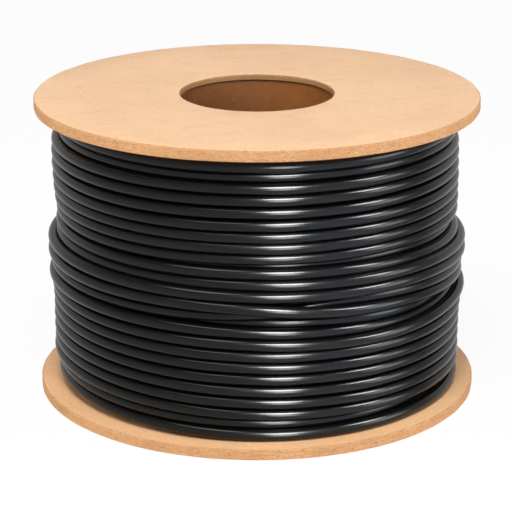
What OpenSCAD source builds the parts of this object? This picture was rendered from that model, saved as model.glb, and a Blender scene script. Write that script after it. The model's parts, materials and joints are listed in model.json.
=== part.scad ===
// Cable reel standing on its end: two round board flanges, a paper core tube and a wound cable.
// Millimetres, with the origin at the bottom centre and Z along the axis of the reel.

/* [Flanges] */
// Diameter of both flanges
flange_d = 250; // [232:1:300]
// Thickness of the flange board
board_t = 6; // [5:0.5:12]
// Diameter of the spindle hole through each flange
spindle_d = 86; // [60:1:96]
// Depth of the rebate that holds each end of the core tube
seat_depth = 3; // [1.5:0.5:4]
// Easing of the cut board edges
edge_break = 0.5; // [0.2:0.1:1]

/* [Core tube] */
// Wall thickness of the core tube
core_wall = 4; // [2.5:0.5:6]
// Step from the spindle hole back to the inner wall of the tube
core_step = 1; // [0.4:0.1:2]
// Bevel on the inner edge of each tube end
core_bevel = 0.8; // [0.3:0.1:1.5]
// Play round the tube in its rebate
seat_play = 0.15; // [0.05:0.05:0.3]

/* [Cable] */
// Outside diameter of the cable
cable_d = 6.4; // [5:0.1:8]
// Width between the flanges that the cable fills
traverse = 158; // [110:1:220]
// Least height of the flange rims above the last full layer
rim_margin = 8; // [7:0.5:20]
// Play between the first layer and the core tube
wrap_play = 0.1; // [0.05:0.05:0.3]
// Play between the end turns and the flanges
end_play = 0.1; // [0.05:0.05:0.3]

/* [Hidden] */
$fn = 128;
// Overall height of the reel
reel_h = traverse + 2 * board_t;
// Radii of the boards and the tube
flange_r = flange_d / 2;
spindle_r = spindle_d / 2;
core_ir = spindle_r + core_step;
core_or = core_ir + core_wall;
seat_r = core_or + seat_play;
// Lower and upper end of the tube, on the floors of the two rebates
core_z0 = board_t - seat_depth;
core_z1 = reel_h - core_z0;
// Bore of the winding
wind_r = core_or + wrap_play;
// Turns side by side in a full layer, and the distance between them
cable_r = cable_d / 2;
turns = floor((traverse - 2 * end_play) / cable_d);
pitch = (traverse - 2 * end_play - cable_d) / (turns - 1);
// Each layer lies in the grooves of the one under it
layer_rise = sqrt(cable_d * cable_d - pitch * pitch / 4);
layers = 1 + floor((flange_r - rim_margin - wind_r - cable_d) / layer_rise);
last = layers - 1;
// Depth to which the grooves between turns are closed, as a share of the cable radius
groove_share = 0.35;
groove_fill = groove_share * cable_r;
// Grooves of the last full layer in which a stray turn rides, as shares of the way down
ride_shares = [0.46, 0.5, 0.58];
// How far a stray turn stands out, as a share of a layer
ride_share = 0.75;
ride_r = layer_r(last) + ride_share * layer_rise;
// Colours
board_colour = [0.90, 0.72, 0.53];
kraft_colour = [0.60, 0.41, 0.26];
sheath_colour = [0.06, 0.06, 0.065];

// Radius of the turn centres in a layer, counted outwards from the tube
function layer_r(i) = wind_r + cable_r + i * layer_rise;
// Every second layer is half a turn shorter at both ends, and the last layer is a full one
function end_inset(i) = (last - i) % 2 * pitch / 2;
function low_z(i) = board_t + end_play + cable_r + end_inset(i);
function high_z(i) = reel_h - low_z(i);
// Height of a groove of the last layer, from its share of the way down
function groove_z(share) = high_z(last) - (round(share * turns) - 0.5) * pitch;

// One round board lying on its outer face, with the rebate for the tube in its inner face
module board() {
    rotate_extrude()
        polygon([
            [spindle_r + edge_break, 0],
            [flange_r - edge_break, 0],
            [flange_r, edge_break],
            [flange_r, board_t - edge_break],
            [flange_r - edge_break, board_t],
            [seat_r, board_t],
            [seat_r, core_z0],
            [spindle_r, core_z0],
            [spindle_r, edge_break]
        ]);
}

// One turn of the cable cut through
module turn(r, z) {
    translate([r, z])
        circle(d = cable_d);
}

// Closed body of the winding, with one corner at each end turn of every layer
module winding_body() {
    polygon(concat(
        [[wind_r, low_z(0) - groove_fill]],
        [for (i = [0 : last]) [layer_r(i), low_z(i) - groove_fill]],
        [[layer_r(last) + groove_fill, low_z(last) - groove_fill]],
        [[layer_r(last) + groove_fill, high_z(last) + groove_fill]],
        [for (i = [last : -1 : 0]) [layer_r(i), high_z(i) + groove_fill]],
        [[wind_r, high_z(0) + groove_fill]]
    ));
}

module bottom_flange() {
    color(board_colour)
        board();
}

module top_flange() {
    color(board_colour)
        translate([0, 0, reel_h])
            mirror([0, 0, 1])
                board();
}

module core_tube() {
    color(kraft_colour)
        rotate_extrude()
            polygon([
                [core_ir + core_bevel, core_z0],
                [core_or, core_z0],
                [core_or, core_z1],
                [core_ir + core_bevel, core_z1],
                [core_ir, core_z1 - core_bevel],
                [core_ir, core_z0 + core_bevel]
            ]);
}

module cable() {
    color(sheath_colour)
        rotate_extrude() {
            winding_body();
            // Outer layer, turn by turn
            for (k = [0 : turns - 1])
                turn(layer_r(last), low_z(last) + k * pitch);
            // End turns of the layers below it
            for (i = [0 : last - 1]) {
                turn(layer_r(i), low_z(i));
                turn(layer_r(i), high_z(i));
            }
            // Stray turns that ride on the outer layer
            for (share = ride_shares)
                turn(ride_r, groove_z(share));
        }
}

bottom_flange();
top_flange();
core_tube();
cable();
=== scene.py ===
"""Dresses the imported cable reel: wound cable, fibreboard flanges, paper core tube, light and camera."""
import json
import math

import bpy
import numpy as np
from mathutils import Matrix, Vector

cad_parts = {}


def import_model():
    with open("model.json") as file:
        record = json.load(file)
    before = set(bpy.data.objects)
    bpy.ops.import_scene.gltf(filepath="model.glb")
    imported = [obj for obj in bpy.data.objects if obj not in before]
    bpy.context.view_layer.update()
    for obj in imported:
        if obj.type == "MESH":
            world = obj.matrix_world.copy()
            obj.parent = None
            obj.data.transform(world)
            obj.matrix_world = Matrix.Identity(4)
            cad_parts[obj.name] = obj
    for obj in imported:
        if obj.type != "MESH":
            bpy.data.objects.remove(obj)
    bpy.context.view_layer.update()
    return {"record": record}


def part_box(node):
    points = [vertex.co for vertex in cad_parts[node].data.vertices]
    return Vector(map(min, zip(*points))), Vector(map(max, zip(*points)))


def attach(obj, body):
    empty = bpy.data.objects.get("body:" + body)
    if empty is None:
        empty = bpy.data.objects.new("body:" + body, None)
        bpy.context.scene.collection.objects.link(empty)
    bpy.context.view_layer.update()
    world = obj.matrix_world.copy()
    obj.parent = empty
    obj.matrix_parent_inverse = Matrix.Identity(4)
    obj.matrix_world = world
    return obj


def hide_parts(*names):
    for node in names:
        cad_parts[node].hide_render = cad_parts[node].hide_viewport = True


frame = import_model()
SEED = 11
rng = np.random.default_rng(SEED)

# Sizes from the frame, in metres
REEL_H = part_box("top_flange")[1].z
LOW_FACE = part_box("bottom_flange")[1].z
HIGH_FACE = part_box("top_flange")[0].z
BOARD_T = LOW_FACE
FLANGE_R = min(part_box("top_flange")[1].x, -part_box("top_flange")[0].x)
CORE_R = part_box("core_tube")[1].x
CORE_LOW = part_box("core_tube")[0].z
CORE_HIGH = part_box("core_tube")[1].z
SPINDLE = next(mount for mount in frame["record"]["mounts"] if mount["name"] == "spindle_bore")
SPINDLE_R = SPINDLE["dims"]["r_mm"] / 1000

# Sizes of the wound cable
CABLE_D = 0.0064
CABLE_R = CABLE_D / 2
END_PLAY = 0.0001
SLOTS = 24
PITCH = (HIGH_FACE - LOW_FACE - 2 * END_PLAY - CABLE_D) / (SLOTS - 1)
FIRST_Z = HIGH_FACE - END_PLAY - CABLE_R
LAST_Z = LOW_FACE + END_PLAY + CABLE_R
LAYER_RISE = math.sqrt(CABLE_D ** 2 - PITCH ** 2 / 4)
LAYERS = 12
OUTER_R = CORE_R + END_PLAY + CABLE_R + (LAYERS - 1) * LAYER_RISE

# Points round one turn of the cable, and round its section
COLUMNS = 180
SIDES = 20

# In a soft window of points, the width squared is about this many times the spread squared
WIDTH_TO_SPREAD = 6


def blur(values, width):
    """Evens out a course with a soft window of an odd number of points; the ends are held."""
    window = np.hanning(width + 2)[1:-1]
    padded = np.pad(values, width // 2, mode="edge")
    return np.convolve(padded, window / window.sum(), mode="valid")


def wander(count, width):
    """Slow seeded noise along a course, with a spread of about 1."""
    noise = blur(rng.normal(size=count + 2 * width), width)[width:-width]
    return noise / noise.std()


def soft_noise(rows, cols, wide, tall):
    """Seeded noise on a grid that closes on itself, with a spread of about 1."""
    raw = rng.normal(size=(rows, cols))
    wave_u = np.fft.fftfreq(rows)[:, None] * wide
    wave_v = np.fft.fftfreq(cols)[None, :] * tall
    fall = np.exp(-2 * (math.pi ** 2) * (wave_u ** 2 + wave_v ** 2) / WIDTH_TO_SPREAD)
    soft = np.fft.ifft2(np.fft.fft2(raw) * fall).real
    return soft / soft.std()


# Mesh helpers

def mesh_piece(name, verts, faces, materials, indices=None, sharp_deg=None):
    """Makes a smooth-shaded mesh that rides on the reel."""
    mesh = bpy.data.meshes.new(name)
    mesh.from_pydata(np.asarray(verts).tolist(), [], faces)
    for mat in materials:
        mesh.materials.append(mat)
    mesh.polygons.foreach_set("use_smooth", [True] * len(mesh.polygons))
    if indices is not None:
        mesh.polygons.foreach_set("material_index", indices)
    if sharp_deg:
        mesh.set_sharp_from_angle(angle=math.radians(sharp_deg))
    mesh.update()
    piece = bpy.data.objects.new(name, mesh)
    bpy.context.scene.collection.objects.link(piece)
    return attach(piece, "root")


def grid_faces(rows, cols, close_rows=False, close_cols=False):
    """Quads over a grid of points that are numbered row by row."""
    i = np.arange(rows if close_rows else rows - 1)
    j = np.arange(cols if close_cols else cols - 1)
    i, j = np.meshgrid(i, j, indexing="ij")
    up, along = (i + 1) % rows, (j + 1) % cols
    quads = np.stack([i * cols + j, i * cols + along, up * cols + along, up * cols + j], -1)
    return quads.reshape(-1, 4).tolist()


def turned(radii, heights, angles):
    """Points of a turned shape: one row for each angle from the front, rising to the right."""
    radii = np.broadcast_to(radii, (len(angles), np.shape(radii)[-1]))
    heights = np.broadcast_to(heights, radii.shape)
    side, front = np.sin(angles)[:, None], -np.cos(angles)[:, None]
    return np.stack([radii * side, radii * front, heights], -1).reshape(-1, 3)


def tube(path, radius, sides):
    """Points and faces of a round bar along a path about the reel's axis, closed at both ends."""
    ahead = np.gradient(path, axis=0)
    ahead /= np.linalg.norm(ahead, axis=1, keepdims=True)
    out = path * (1, 1, 0)
    out -= ahead * (out * ahead).sum(1, keepdims=True)
    out /= np.linalg.norm(out, axis=1, keepdims=True)
    across = np.cross(ahead, out)
    turn = np.linspace(0, 2 * math.pi, sides, endpoint=False)[None, :, None]
    ring = np.cos(turn) * out[:, None] + np.sin(turn) * across[:, None]
    verts = (path[:, None] + radius * ring).reshape(-1, 3)
    faces = grid_faces(len(path), sides, close_cols=True)
    last = (len(path) - 1) * sides
    faces.append(list(range(sides - 1, -1, -1)))
    faces.append(list(range(last, last + sides)))
    return verts, faces


# Shader helpers

# Sockets of a mix node that hold its colours
COLOUR_A, COLOUR_B, COLOUR_OUT = 6, 7, 2


class Nodes:
    """A node tree and the few kinds of node that it is made of."""

    def __init__(self, tree):
        self.tree = tree

    def put(self, socket, value):
        """Links a value to a socket, or sets it."""
        if isinstance(value, bpy.types.NodeSocket):
            self.tree.links.new(value, socket)
        else:
            socket.default_value = value

    def node(self, kind, inputs, output=0, **settings):
        """Adds a node with its settings and inputs, and gives one of its outputs."""
        made = self.tree.nodes.new(kind)
        for key, value in settings.items():
            setattr(made, key, value)
        for key, value in inputs.items():
            self.put(made.inputs[key], value)
        return made.outputs[output] if made.outputs else None

    def place(self, stretch=(1, 1, 1)):
        """Position on the object, stretched along its axes."""
        spot = self.node("ShaderNodeTexCoord", {}, "Object")
        return self.node("ShaderNodeMapping", {"Vector": spot, "Scale": stretch})

    def noise(self, scale, stretch=(1, 1, 1), detail=3.0, roughness=0.55, distortion=0.0):
        """Cloudy noise, most of it between 0.3 and 0.7."""
        inputs = {"Vector": self.place(stretch), "Scale": scale, "Detail": detail,
                  "Roughness": roughness, "Distortion": distortion}
        return self.node("ShaderNodeTexNoise", inputs, "Fac")

    def specks(self, scale, stretch=(1, 1, 1)):
        """Distance to the nearest of many scattered points."""
        return self.node("ShaderNodeTexVoronoi", {"Vector": self.place(stretch), "Scale": scale}, "Distance")

    def span(self, value, low, high, to_low=0.0, to_high=1.0):
        """Maps one range to another, held at the ends."""
        inputs = {"Value": value, "From Min": low, "From Max": high, "To Min": to_low, "To Max": to_high}
        return self.node("ShaderNodeMapRange", inputs)

    def calc(self, operation, first, second):
        """Arithmetic with two numbers."""
        return self.node("ShaderNodeMath", {0: first, 1: second}, operation=operation)

    def blend(self, factor, first, second):
        """Number between two numbers."""
        return self.node("ShaderNodeMix", {"Factor": factor, "A": first, "B": second})

    def mix(self, factor, first, second):
        """Colour between two colours."""
        inputs = {"Factor": factor, COLOUR_A: first, COLOUR_B: second}
        return self.node("ShaderNodeMix", inputs, COLOUR_OUT, data_type="RGBA")

    def tint(self, colour, mask, share, shade):
        """Colour with a share of a shade where the mask is 1."""
        return self.mix(self.calc("MULTIPLY", mask, share), colour, shade)


class Shader(Nodes):
    """A material with one main surface."""

    def __init__(self, name, **constants):
        self.material = bpy.data.materials.new(name)
        self.material.use_nodes = True
        super().__init__(self.material.node_tree)
        self.surface = self.tree.nodes["Principled BSDF"]
        for socket, value in constants.items():
            self.surface.inputs[socket.replace("_", " ")].default_value = value

    def bump(self, height, distance, strength=1.0):
        """Fine relief on the surface, its depth in metres."""
        normal = self.node("ShaderNodeBump", {"Height": height, "Distance": distance, "Strength": strength})
        self.put(self.surface.inputs["Normal"], normal)

    def finish(self, **sockets):
        """Links the surface's inputs and gives the material."""
        for socket, value in sockets.items():
            self.put(self.surface.inputs[socket.replace("_", " ")], value)
        return self.material


def board_face(name, deep, pale):
    """Smooth face of the fibreboard, with fine fibres and a few dark specks."""
    s = Shader(name, Specular_IOR_Level=0.22)
    cloud = s.span(s.noise(14, detail=2.0), 0.35, 0.65)
    colour = s.mix(cloud, deep, pale)
    streak = s.span(s.noise(75, (1, 1.6, 1), detail=4.0, roughness=0.65), 0.46, 0.70)
    colour = s.tint(colour, streak, 0.30, (0.68, 0.41, 0.22, 1))
    fibre = s.span(s.noise(620, (1, 2.2, 1), detail=4.0), 0.50, 0.72)
    colour = s.tint(colour, fibre, 0.35, (0.60, 0.36, 0.18, 1))
    light = s.span(s.noise(410, (2.2, 1, 1), detail=3.0), 0.56, 0.74)
    colour = s.tint(colour, light, 0.35, (0.95, 0.78, 0.58, 1))
    speck = s.span(s.specks(95), 0.03, 0.08, 1.0, 0.0)
    colour = s.tint(colour, speck, 0.55, (0.33, 0.16, 0.07, 1))
    s.bump(s.noise(900, detail=3.0), 0.00004)
    return s.finish(Base_Color=colour, Roughness=s.span(cloud, 0, 1, 0.50, 0.60))


def board_edge(name, deep, pale):
    """Cut edge of the fibreboard: darker, with fibres that run along the cut and small pits with painted
    shade in them.
    """
    s = Shader(name, Specular_IOR_Level=0.12)
    cloud = s.span(s.noise(30, (1, 1, 0.4), detail=3.0), 0.35, 0.65)
    colour = s.mix(cloud, deep, pale)
    fibre = s.span(s.noise(420, (1, 1, 4), detail=5.0), 0.46, 0.70)
    colour = s.tint(colour, fibre, 0.60, (0.40, 0.19, 0.075, 1))
    light = s.span(s.noise(520, (1, 1, 3), detail=4.0, distortion=0.4), 0.55, 0.74)
    colour = s.tint(colour, light, 0.35, (0.92, 0.72, 0.50, 1))
    # The pits are dented in the bump and darkened in colour: the darkening is painted shade in the hollows
    shaded_pit = s.span(s.specks(210, (1, 1, 2)), 0.08, 0.20, 1.0, 0.0)
    colour = s.tint(colour, shaded_pit, 0.60, (0.26, 0.12, 0.05, 1))
    s.bump(s.calc("SUBTRACT", s.noise(700, (1, 1, 3), detail=4.0), shaded_pit), 0.0002, 0.8)
    return s.finish(Base_Color=colour, Roughness=s.span(cloud, 0, 1, 0.72, 0.85))


def kraft(name, deep, pale):
    """Bare brown paper of the core tube, with darker and paler fibres."""
    s = Shader(name, Specular_IOR_Level=0.15)
    cloud = s.span(s.noise(22, (1, 1, 1.6), detail=3.0), 0.32, 0.68)
    colour = s.mix(cloud, deep, pale)
    fibre = s.span(s.noise(360, (1, 1, 2.5), detail=4.0), 0.48, 0.72)
    colour = s.tint(colour, fibre, 0.28, (0.15, 0.052, 0.015, 1))
    light = s.span(s.noise(300, (1, 1, 0.5), detail=4.0), 0.56, 0.74)
    colour = s.tint(colour, light, 0.35, (0.43, 0.21, 0.085, 1))
    s.bump(s.noise(480, (1, 1, 2), detail=4.0), 0.00012, 0.7)
    return s.finish(Base_Color=colour, Roughness=s.span(cloud, 0, 1, 0.62, 0.75))


def sheath():
    """Black extruded plastic of the cable, half glossy, with faint draw lines and scuffs."""
    s = Shader("cable_sheath", Specular_IOR_Level=0.30)
    along = (0.12, 0.12, 1)
    cloud = s.span(s.noise(60, along, detail=3.0), 0.35, 0.65)
    colour = s.mix(cloud, (0.0032, 0.0034, 0.0038, 1), (0.0050, 0.0052, 0.0057, 1))
    dust = s.span(s.noise(500, (0.3, 0.3, 1), detail=5.0), 0.60, 0.78)
    colour = s.tint(colour, dust, 0.25, (0.024, 0.024, 0.025, 1))
    scuff = s.span(s.noise(260, along, detail=4.0), 0.52, 0.75)
    gloss = s.calc("ADD", s.span(cloud, 0, 1, 0.16, 0.20), s.calc("MULTIPLY", scuff, 0.06))
    s.bump(s.noise(900, (0.05, 0.05, 1), detail=2.0), 0.00002, 0.6)
    return s.finish(Base_Color=colour, Roughness=gloss)


# The outer faces are paler than the inside faces, which are more orange
BOARD_FACE = board_face("board_face", (0.83, 0.525, 0.310, 1), (0.88, 0.575, 0.352, 1))
BOARD_INSIDE = board_face("board_inside", (0.83, 0.470, 0.235, 1), (0.88, 0.515, 0.270, 1))
BOARD_EDGE = board_edge("board_edge", (0.62, 0.318, 0.140, 1), (0.71, 0.382, 0.180, 1))
# The bore wall takes a darker copy of the edge material: painted shade inside the hole
BOARD_HOLE_PAINTED_SHADE = board_edge("board_hole_painted_shade", (0.41, 0.215, 0.090, 1), (0.47, 0.258, 0.115, 1))
KRAFT = kraft("kraft_paper", (0.265, 0.092, 0.019, 1), (0.355, 0.135, 0.034, 1))
# Near-black copy of the paper for the tube's ends and bevels: a painted shadow line under the flange's lip
KRAFT_SHADOW_LINE = kraft("kraft_painted_shadow_line", (0.030, 0.010, 0.004, 1), (0.045, 0.016, 0.006, 1))
SHEATH = sheath()

# Course of the cable. Angles are degrees to the right of the front. A height is counted in turns down
# from the top one, and a lift is how far a turn stands proud of the even layer, in millimetres.
KEY_ANGLES = np.array([-90, -45, -20, 0, 20, 45, 90])
# Upper turns lie level: height, then lift at the left, front and right
TOP_TURNS = [
    (0.60, -2.4, -1.0, -1.6),
    (1.36, -2.9, -2.8, -2.5),
    (2.15, 1.0, -0.8, -1.7),
    (3.18, 1.3, -0.4, -1.2),
    (4.26, 1.2, -0.6, -1.0),
    (5.30, 0.9, -0.7, -0.9),
    (6.26, 0.6, -1.2, -0.8),
    (7.18, -0.1, -1.3, -0.8),
]
# Turns half-way down that lie across others: heights, then lifts, at the key angles
MID_TURNS = [
    ((8.22, 8.18, 8.12, 8.08, 8.08, 8.10, 8.12), (-1.7, -1.9, -2.1, -2.2, -2.1, -1.5, -0.9)),
    ((9.25, 9.22, 9.24, 9.30, 9.33, 9.66, 10.05), (-1.3, -1.5, -1.2, -1.0, -0.8, -0.5, -0.5)),
    ((10.10, 10.08, 10.10, 10.10, 10.20, 10.46, 10.96), (-1.2, -1.5, -1.2, -0.5, 0.8, 2.8, 3.9)),
    ((10.78, 10.78, 10.98, 11.26, 11.12, 11.28, 11.86), (4.2, 3.6, 2.4, 1.4, 1.6, 2.4, 4.1)),
    ((11.90, 11.88, 11.80, 12.13, 12.58, 13.05, 13.75), (4.3, 3.6, 2.4, 1.6, 1.0, -0.2, 2.5)),
    ((13.85, 13.87, 13.98, 14.24, 14.46, 14.62, 14.45), (4.1, 2.6, 0.8, 0.0, 0.2, -1.4, -2.5)),
    ((14.95, 14.95, 15.08, 15.27, 15.33, 15.32, 15.05), (2.4, 1.6, 1.0, 1.0, 1.4, 2.6, 4.3)),
]
# Lower turns fall to the right: height at the front, then lifts as above
LOW_FALL = (-0.40, -0.30, -0.14, 0.0, 0.12, 0.27, 0.36)
LOW_TURNS = [
    (16.17, 1.9, 1.0, 2.0),
    (17.18, 1.8, 1.0, 1.5),
    (18.13, 1.8, 1.0, 1.4),
    (19.16, 1.8, 0.9, 1.3),
    (20.20, 1.8, 0.8, 1.3),
    (21.22, 1.5, 0.6, 1.2),
]
# The last but one slips behind its neighbours to the right, and the last comes down onto the flange
LAST_TURNS = [
    ((21.40, 21.55, 21.90, 22.26, 22.28, 22.20, 22.20), (0.2, 0.2, -0.6, -2.0, -2.8, -4.0, -4.5)),
    ((22.30, 22.45, 22.80, 23.00, 23.00, 23.00, 23.00), (-0.4, -0.2, 0.3, 0.8, 0.8, 0.8, 0.9)),
]
# Turns of the layer below that show between them, wound upwards
STRAY_TURNS = [
    ((13.30, 13.40, 13.40, 13.58, 13.66, 13.90, 13.90), (-6.0, -6.0, -5.5, -4.4, -2.8, 0.2, -4.5)),
    ((13.00, 13.08, 12.84, 12.92, 12.05, 12.12, 12.90), (3.5, -0.4, -0.6, -0.9, -2.8, 1.8, 2.5)),
    ((10.40, 10.40, 10.50, 10.68, 10.60, 10.80, 10.90), (-6.0, -6.0, -6.0, -5.5, -6.0, -6.0, -6.0)),
    ((8.70, 8.74, 8.75, 8.78, 8.85, 9.00, 9.30), (-5.0, -4.5, -4.5, -6.0, -5.0, -4.5, -4.5)),
]
# Columns over which the stiff cable bends
BEND = 15
# Turns nearer than this are eased apart, part of the way in each pass, with a slight smoothing after it
TOUCH = 0.97 * CABLE_D
EASING_PASSES = 40
EASING_PARTS = 3
EASING_BLUR = 5
NEAR_ZERO = 1e-9
# Share of a turn over which each end of a run is tucked in
TUCK_SHARE = 1 / 5
# Small wander of the drawn cable: spread in metres, and window in columns
HEIGHT_WANDER, HEIGHT_WINDOW = 0.00010, 31
RADIUS_WANDER, RADIUS_WINDOW = 0.00006, 41
# The layers inside sit a little deeper than close winding would put them, out of the way of the drawn turns
INNER_SINK = 0.0030
UNDER_R = OUTER_R - LAYER_RISE - INNER_SINK
INNER_SEGMENTS = 144
FACE_STEPS = 10
END_STEPS = 9
# Grooves between their turns are filled up to this share of the cable's radius
GROOVE_FILL = 0.35


def course(rows):
    """Smooth course through a row of values for each turn, one value for each key angle."""
    rows = np.asarray(rows, float)
    keys = np.arange(len(rows))[:, None] + KEY_ANGLES / 360
    spots = np.arange(len(rows) * COLUMNS) / COLUMNS - 0.5
    return blur(np.interp(spots, keys.ravel(), rows.ravel()), BEND)


def outer_rows():
    """Heights and lifts of the outer turns at the key angles."""
    sides = (KEY_ANGLES[0], 0, KEY_ANGLES[-1])
    rows = []
    for height, *lifts in TOP_TURNS:
        rows.append(([height] * len(KEY_ANGLES), np.interp(KEY_ANGLES, sides, lifts)))
    rows += MID_TURNS
    for height, *lifts in LOW_TURNS:
        rows.append((height + np.array(LOW_FALL), np.interp(KEY_ANGLES, sides, lifts)))
    return rows + LAST_TURNS


def lay(rows):
    """Height and radius along a run of turns, with both ends tucked in at the back."""
    heights, lifts = zip(*rows)
    radii = OUTER_R + course(lifts) / 1000
    tuck = np.clip(np.arange(len(radii)) / (COLUMNS * TUCK_SHARE), 0, 1)
    radii = radii - CABLE_D * (1 - blur(np.minimum(tuck, tuck[::-1]), BEND))
    return FIRST_Z - PITCH * course(heights), radii


def ease_apart(runs):
    """Moves turns apart where they overlap, a little at a time, and keeps each run smooth."""
    ends = np.cumsum([len(heights) for heights, radii in runs])[:-1]
    z = np.concatenate([heights for heights, radii in runs])
    r = np.concatenate([radii for heights, radii in runs])
    for _ in range(EASING_PASSES):
        rows_z, rows_r = z.reshape(-1, COLUMNS), r.reshape(-1, COLUMNS)
        gap_z = rows_z[:, None] - rows_z[None]
        gap_r = rows_r[:, None] - rows_r[None]
        gap = np.sqrt(gap_z ** 2 + gap_r ** 2) + NEAR_ZERO
        push = np.clip(TOUCH - gap, 0, None) / gap / EASING_PARTS
        z = np.clip(z + (push * gap_z).sum(1).ravel(), LAST_Z, FIRST_Z)
        r = r + (push * gap_r).sum(1).ravel()
        z = np.concatenate([blur(part, EASING_BLUR) for part in np.split(z, ends)])
        r = np.concatenate([blur(part, EASING_BLUR) for part in np.split(r, ends)])
    return list(zip(np.split(z, ends), np.split(r, ends)))


def round_axis(radii, heights):
    """Points of a course about the reel's axis."""
    angles = 2 * math.pi * (np.arange(len(radii)) / COLUMNS - 0.5)
    return np.stack([radii * np.sin(angles), -radii * np.cos(angles), heights], -1)


def cable():
    """The outer turns, the stray turns among them and the layers inside."""
    runs = ease_apart([lay(outer_rows()), lay(STRAY_TURNS)])
    for name, (heights, radii) in zip(("cable_outer_turns", "cable_stray_turns"), runs):
        heights = heights + HEIGHT_WANDER * wander(len(heights), HEIGHT_WINDOW)
        radii = radii + RADIUS_WANDER * wander(len(radii), RADIUS_WINDOW)
        heights = np.clip(heights, LAST_Z, FIRST_Z)
        verts, faces = tube(round_axis(radii, heights), CABLE_R, SIDES)
        piece = mesh_piece(name, verts, faces, [SHEATH])
        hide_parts("cable")

    inner_layers(FIRST_Z - PITCH * (np.arange(SLOTS - 1) + 0.5))


def scallop(spots, centres, base):
    """Outline over a row of turns, as a height at each spot along the row."""
    nearest = np.abs(spots[:, None] - centres[None, :]).min(1)
    crown = np.sqrt(np.clip(CABLE_R ** 2 - nearest ** 2, 0, None))
    return base + np.maximum(crown, GROOVE_FILL * CABLE_R)


def inner_layers(turn_z):
    """The layers under the outer turns, as one turned body with its turns on the face and both ends."""
    layer_r = UNDER_R - LAYER_RISE * np.arange(LAYERS - 1)[::-1]
    face_z = np.linspace(turn_z[-1], turn_z[0], (SLOTS - 2) * FACE_STEPS + 1)
    face_r = scallop(face_z, turn_z, UNDER_R)
    end_r = np.linspace(CORE_R + END_PLAY, UNDER_R, (LAYERS - 1) * END_STEPS)
    rise = scallop(end_r, layer_r, 0.0)
    profile_r = np.concatenate([end_r, face_r, end_r[::-1]])
    profile_z = np.concatenate([turn_z[-1] - rise, face_z, turn_z[0] + rise[::-1]])
    angles = np.linspace(0, 2 * math.pi, INNER_SEGMENTS, endpoint=False)
    verts = turned(profile_r, profile_z, angles)
    faces = grid_faces(len(angles), len(profile_r), close_rows=True, close_cols=True)
    piece = mesh_piece("cable_inner_layers", verts, faces, [SHEATH])
    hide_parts("cable")


# Flanges. The rim is finely divided, so that its cut face is rough in the mesh too.
ROUND_SEGMENTS = 720
RIM_ROWS = 13
HOLE_ROWS = 3
ARRIS = 0.0006
ARRIS_STEPS = 4
SEAT_PLAY = 0.00015
# Rings that divide the flat faces, inside the rim and outside the hole
RIM_BAND = 0.02
HOLE_BAND = 0.01
# Only hollows are cut into the rim and the hole: depth, shift and limit of the noise
ROUGH_DEPTH = 0.00009
ROUGH_SHIFT = 0.6
ROUGH_LIMIT = 3
# Windows of that noise, in points along the cut and across it
RIM_GRAIN = (5, 2.5)
HOLE_GRAIN = (6, 3)
BOARD_MATERIALS = [BOARD_FACE, BOARD_EDGE, BOARD_INSIDE, BOARD_HOLE_PAINTED_SHADE]
FACE, EDGE, INSIDE, HOLE = range(4)
BOARD_SHARP_DEG = 50


def corner(r, z, out_r, out_z):
    """Points of a rounded corner, from the face at z to the wall at r."""
    swing = np.linspace(0, math.pi / 2, ARRIS_STEPS)
    return [(r - out_r * ARRIS * (1 - math.sin(a)), z - out_z * ARRIS * (1 - math.cos(a))) for a in swing]


def board(name, node, flipped):
    """One flange: flat faces, a rough cut rim and hole, and the rebate for the tube."""
    seat_z = CORE_LOW
    seat_r = CORE_R + SEAT_PLAY
    rim = corner(FLANGE_R, 0, 1, -1)
    rim += [(FLANGE_R, z) for z in np.linspace(ARRIS, BOARD_T - ARRIS, RIM_ROWS)[1:-1]]
    rim += corner(FLANGE_R, BOARD_T, 1, 1)[::-1]
    inside = [(FLANGE_R - RIM_BAND, BOARD_T), (seat_r + HOLE_BAND, BOARD_T)]
    inside += [(seat_r, BOARD_T), (seat_r, seat_z)]
    hole = [(SPINDLE_R, z) for z in np.linspace(seat_z, seat_z / 2, HOLE_ROWS)]
    hole += corner(SPINDLE_R, 0, -1, -1)[::-1]
    outside = [(SPINDLE_R + HOLE_BAND, 0), (FLANGE_R - RIM_BAND, 0)]
    profile = rim + inside + hole + outside
    rim_end = len(rim)
    hole_start = len(rim + inside)
    hole_end = hole_start + len(hole)

    profile_r, profile_z = np.array(profile).T
    radii = np.tile(profile_r, (ROUND_SEGMENTS, 1))
    rough = soft_noise(ROUND_SEGMENTS, len(rim), *RIM_GRAIN)
    radii[:, :rim_end] += ROUGH_DEPTH * np.clip(rough - ROUGH_SHIFT, -ROUGH_LIMIT, 0)
    rough = soft_noise(ROUND_SEGMENTS, len(hole), *HOLE_GRAIN)
    radii[:, hole_start:hole_end] += ROUGH_DEPTH * np.clip(rough + ROUGH_SHIFT, 0, ROUGH_LIMIT)
    heights = np.tile(profile_z, (ROUND_SEGMENTS, 1))
    faces = grid_faces(ROUND_SEGMENTS, len(profile), close_rows=True, close_cols=True)
    if flipped:
        heights = REEL_H - heights
        faces = [face[::-1] for face in faces]

    surface = np.full(len(profile), FACE)
    surface[:rim_end - 1] = EDGE
    surface[rim_end - 1:hole_start] = INSIDE
    # The bore wall gets the darker copy of the edge: painted shade
    surface[hole_start:hole_end - 1] = HOLE
    verts = turned(radii, heights, np.linspace(0, 2 * math.pi, ROUND_SEGMENTS, endpoint=False))
    surfaces = np.tile(surface, ROUND_SEGMENTS)
    piece = mesh_piece(name, verts, faces, BOARD_MATERIALS, surfaces, BOARD_SHARP_DEG)
    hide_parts(node)


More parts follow.
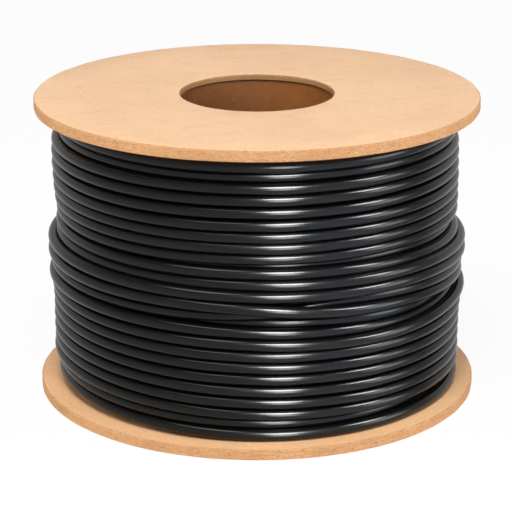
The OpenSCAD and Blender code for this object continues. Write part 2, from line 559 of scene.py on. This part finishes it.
# Core tube, wound from paper strips: a shallow seam runs up its inner wall
TUBE_WALL = 0.004
TUBE_BEVEL = 0.0008
TUBE_SEGMENTS = 240
TUBE_ROWS = 190
TUBE_SHARP_DEG = 40
SEAM_LEAD = 0.115
SEAM_W = 0.0009
SEAM_DEPTH = 0.00025
# Unevenness of the inner wall: spread in metres, and window in points
PAPER_ROUGHNESS, PAPER_GRAIN = 0.00006, 18


def core_tube():
    """The paper tube: plain outside, bevelled ends that carry a painted shadow line, and an uneven inner
    wall with its seam.
    """
    wall_r = CORE_R - TUBE_WALL
    bevel_r = wall_r + TUBE_BEVEL
    angles = np.linspace(0, 2 * math.pi, TUBE_SEGMENTS, endpoint=False)
    inner_z = np.linspace(CORE_HIGH - TUBE_BEVEL, CORE_LOW + TUBE_BEVEL, TUBE_ROWS)
    profile_r = np.concatenate([[CORE_R, CORE_R, bevel_r], np.full(TUBE_ROWS, wall_r), [bevel_r]])
    profile_z = np.concatenate([[CORE_LOW, CORE_HIGH, CORE_HIGH], inner_z, [CORE_LOW]])
    inner_wall = slice(3, -1)
    turn = (inner_z[None, :] / SEAM_LEAD - angles[:, None] / (2 * math.pi)) % 1
    off_seam = np.abs(turn - 0.5) * SEAM_LEAD
    radii = np.tile(profile_r, (len(angles), 1))
    radii[:, inner_wall] += SEAM_DEPTH * np.exp(-(off_seam / SEAM_W) ** 2)
    radii[:, inner_wall] += PAPER_ROUGHNESS * soft_noise(len(angles), TUBE_ROWS, PAPER_GRAIN, PAPER_GRAIN)
    verts = turned(radii, profile_z, angles)
    faces = grid_faces(len(angles), len(profile_r), close_rows=True, close_cols=True)
    cut = np.zeros(len(profile_r), int)
    # Painted shadow line: the upper end and bevel, then the lower bevel and end, take the near-black paper
    cut[[1, 2, -2, -1]] = 1
    piece = mesh_piece("paper_core_tube", verts, faces, [KRAFT, KRAFT_SHADOW_LINE], np.tile(cut, len(angles)),
                       TUBE_SHARP_DEG)
    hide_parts("core_tube")


cable()
board("lower_board", "bottom_flange", False)
board("upper_board", "top_flange", True)
core_tube()

# Floor, light and camera
FLOOR_SIZE = 12
FLOOR_GLOW_SHARE = 0.92
AMBIENT = 0.32
LAMP_DISTANCE = 2.0
CAMERA_DISTANCE = 1.25
CAMERA_PITCH = 18.11
CAMERA_AIM = Vector((-0.0006, 0, 0.0734))
FOCAL_PIXELS = 2174.7
PHOTO_PIXELS = 512
SENSOR_WIDTH = 36
# Name, degrees right of the front, degrees up, size in metres, power in watts, and whether it lights
# reflections only. Such lamps draw the glints on the cable and leave the boards at a plain level.
LAMPS = [
    ("front", -8, 60, (1.0, 1.0), 31, False),
    ("left", -65, 27, (1.0, 0.5), 8, False),
    ("right", 72, 7, (1.2, 0.4), 14, False),
    ("glint_top", -45, 68, (1.1, 0.5), 9.5, True),
    ("glint_front", 15.8, 37, (0.66, 0.70), 68, True),
    ("glint_front_low", 14.5, 7, (0.54, 1.3), 25, True),
    ("glint_side", 74, 41, (0.50, 0.68), 26, True),
    ("glint_side_low", 73, 9, (0.9, 1.2), 13, True),
]


def floor():
    """Pale floor that the camera sees as nearly white, with the soft shadow of the reel."""
    bpy.ops.mesh.primitive_plane_add(size=FLOOR_SIZE)
    plane = bpy.context.object
    plane.name = "floor"
    s = Shader("pale_floor", Roughness=0.9, Specular_IOR_Level=0.0)
    speckle = s.span(s.noise(3, detail=2.0), 0.3, 0.7)
    s.finish(Base_Color=s.mix(speckle, (0.92, 0.92, 0.92, 1), (0.94, 0.94, 0.94, 1)))
    path = s.tree.nodes.new("ShaderNodeLightPath")
    seen = s.calc("MAXIMUM", path.outputs["Is Camera Ray"], path.outputs["Is Glossy Ray"])
    seen = s.calc("MAXIMUM", seen, path.outputs["Is Transmission Ray"])
    glow = s.node("ShaderNodeEmission", {"Color": (1, 1, 1, 1), "Strength": 1.0})
    share = s.calc("MULTIPLY", seen, FLOOR_GLOW_SHARE)
    surface = s.node("ShaderNodeMixShader", {0: share, 1: s.surface.outputs[0], 2: glow})
    s.put(s.tree.nodes["Material Output"].inputs["Surface"], surface)
    plane.data.materials.append(s.material)
    plane.visible_glossy = False


def world():
    """White to the camera, an even grey for matt light, and graded by direction in reflections."""
    made = bpy.data.worlds.new("studio")
    bpy.context.scene.world = made
    made.use_nodes = True
    s = Nodes(made.node_tree)
    s.tree.nodes.clear()
    split = s.tree.nodes.new("ShaderNodeSeparateXYZ")
    s.put(split.inputs[0], s.node("ShaderNodeTexCoord", {}, "Generated"))
    to_right, away, up = (split.outputs[axis] for axis in "XYZ")
    path = s.tree.nodes.new("ShaderNodeLightPath")
    mirrored = s.calc("MAXIMUM", path.outputs["Is Glossy Ray"], path.outputs["Is Transmission Ray"])

    # Level round the reel: even on the left, on the right bright before it and dim at the side, and a
    # little lower straight behind
    left = s.span(away, 0.10, 0.50, 0.60, 0.66)
    right = s.calc("ADD", s.span(away, -0.15, 0.25, 1.0, 0.30), s.span(away, 0.25, 0.50, 0.0, 0.40))
    side = s.span(to_right, -0.15, 0.15)
    around = s.calc("MULTIPLY", s.blend(side, left, right), s.span(away, 0.70, 0.95, 1.0, 0.72))
    # Level by height: brighter below, dim overhead
    aside = s.node("ShaderNodeMath", {0: to_right}, operation="ABSOLUTE")
    overhead = s.calc("ADD", up, s.calc("MULTIPLY", aside, 0.4))
    height = s.calc("MULTIPLY", s.span(up, -0.25, 0.05, 1.2, 1.0), s.span(overhead, 0.72, 0.95, 1.0, 0.3))
    level = s.blend(mirrored, AMBIENT, s.calc("MULTIPLY", around, height))
    level = s.blend(path.outputs["Is Camera Ray"], level, 1.0)

    # Reflections from the front right are slightly cool
    cool = s.calc("MULTIPLY", s.calc("MULTIPLY", side, s.span(away, 0.0, 0.3, 1.0, 0.0)), mirrored)
    colour = s.mix(cool, (1.0, 1.0, 1.0, 1), (0.86, 0.95, 1.04, 1))
    light = s.node("ShaderNodeBackground", {"Color": colour, "Strength": level})
    s.node("ShaderNodeOutputWorld", {"Surface": light})


def softbox(name, azimuth, elevation, size, power, glints):
    """Area lamp aimed at the middle of the reel, for its glints or for its matt light."""
    data = bpy.data.lights.new(name, "AREA")
    data.shape = "ELLIPSE"
    data.size, data.size_y = size
    data.energy = power
    lamp = bpy.data.objects.new(name, data)
    turn, tilt = math.radians(azimuth), math.radians(elevation)
    toward = Vector((math.sin(turn) * math.cos(tilt), -math.cos(turn) * math.cos(tilt), math.sin(tilt)))
    lamp.location = Vector((0, 0, REEL_H / 2)) + LAMP_DISTANCE * toward
    lamp.rotation_euler = toward.to_track_quat("Z", "Y").to_euler()
    lamp.visible_camera = False
    lamp.visible_glossy = glints
    lamp.visible_diffuse = not glints
    bpy.context.scene.collection.objects.link(lamp)


def camera():
    """Camera where the photograph was taken from, found by fitting the outlines of the flanges."""
    data = bpy.data.cameras.new("photo_camera")
    data.sensor_width = SENSOR_WIDTH
    data.lens = data.sensor_width * FOCAL_PIXELS / PHOTO_PIXELS
    eye = bpy.data.objects.new("photo_camera", data)
    tilt = math.radians(CAMERA_PITCH)
    back = Vector((0, -math.cos(tilt), math.sin(tilt)))
    eye.location = CAMERA_AIM + CAMERA_DISTANCE * back
    eye.rotation_euler = back.to_track_quat("Z", "Y").to_euler()
    bpy.context.scene.collection.objects.link(eye)
    bpy.context.scene.camera = eye


floor()
world()
for lamp_values in LAMPS:
    softbox(*lamp_values)
camera()
bpy.context.scene.view_settings.view_transform = "Standard"
